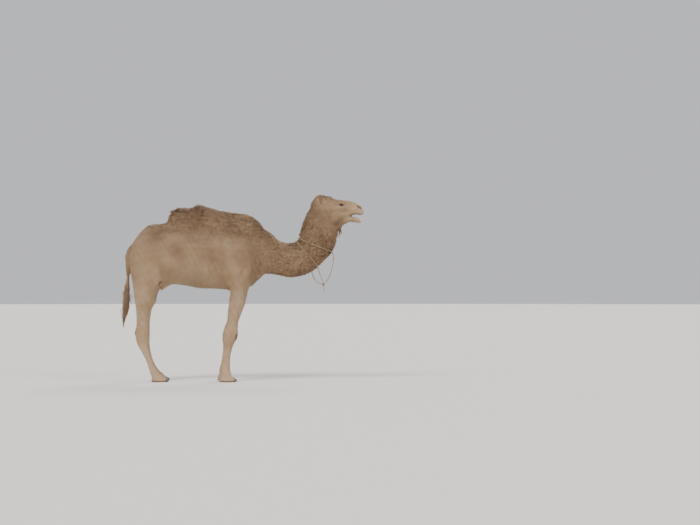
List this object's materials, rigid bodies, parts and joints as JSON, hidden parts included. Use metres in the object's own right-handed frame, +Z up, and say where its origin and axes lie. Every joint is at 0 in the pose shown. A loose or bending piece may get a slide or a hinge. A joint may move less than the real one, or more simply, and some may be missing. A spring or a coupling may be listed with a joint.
{
  "type": "standing dromedary camel",
  "caption": "Life-size dromedary camel standing still with a low woolly hump, head held level and a thin cord tied round its neck.",
  "frame": {"origin": "on the floor, under the middle of the length and width", "axes": "+X towards the head, +Y to the animal's left, +Z up"},
  "size_m": [2.7047, 0.6124, 2.0854],
  "materials": {
    "short_coat": "short sandy brown hair",
    "wool": "long darker brown woolly hair",
    "skin": "dark bare leathery skin",
    "nail": "dark worn horn",
    "eye": "wet dark brown eye",
    "tooth": "yellowed tooth",
    "cord": "twisted pale plant fibre cord"
  },
  "bodies": {
    "root": {"trunk": "short_coat", "head": "short_coat", "jaw": "short_coat", "ear_left": "short_coat", "ear_right": "short_coat", "tail": "short_coat", "fore_left_upper_leg": "short_coat", "fore_left_lower_leg": "short_coat", "fore_left_foot": "short_coat", "fore_right_upper_leg": "short_coat", "fore_right_lower_leg": "short_coat", "fore_right_foot": "short_coat", "hind_left_upper_leg": "short_coat", "hind_left_lower_leg": "short_coat", "hind_left_foot": "short_coat", "hind_right_upper_leg": "short_coat", "hind_right_lower_leg": "short_coat", "hind_right_foot": "short_coat", "hump": "wool", "neck_lower": "wool", "neck_middle": "wool", "neck_upper": "wool", "tail_tuft": "wool", "nail_fore_left_inner": "nail", "nail_fore_left_outer": "nail", "nail_fore_right_inner": "nail", "nail_fore_right_outer": "nail", "nail_hind_left_inner": "nail", "nail_hind_left_outer": "nail", "nail_hind_right_inner": "nail", "nail_hind_right_outer": "nail", "eye_left": "eye", "eye_right": "eye", "cord_front_left": "cord", "cord_front_right": "cord", "cord_rear_left": "cord", "cord_rear_right": "cord", "cord_knot": "cord", "cord_end": "cord"}
  },
  "joints": []
}
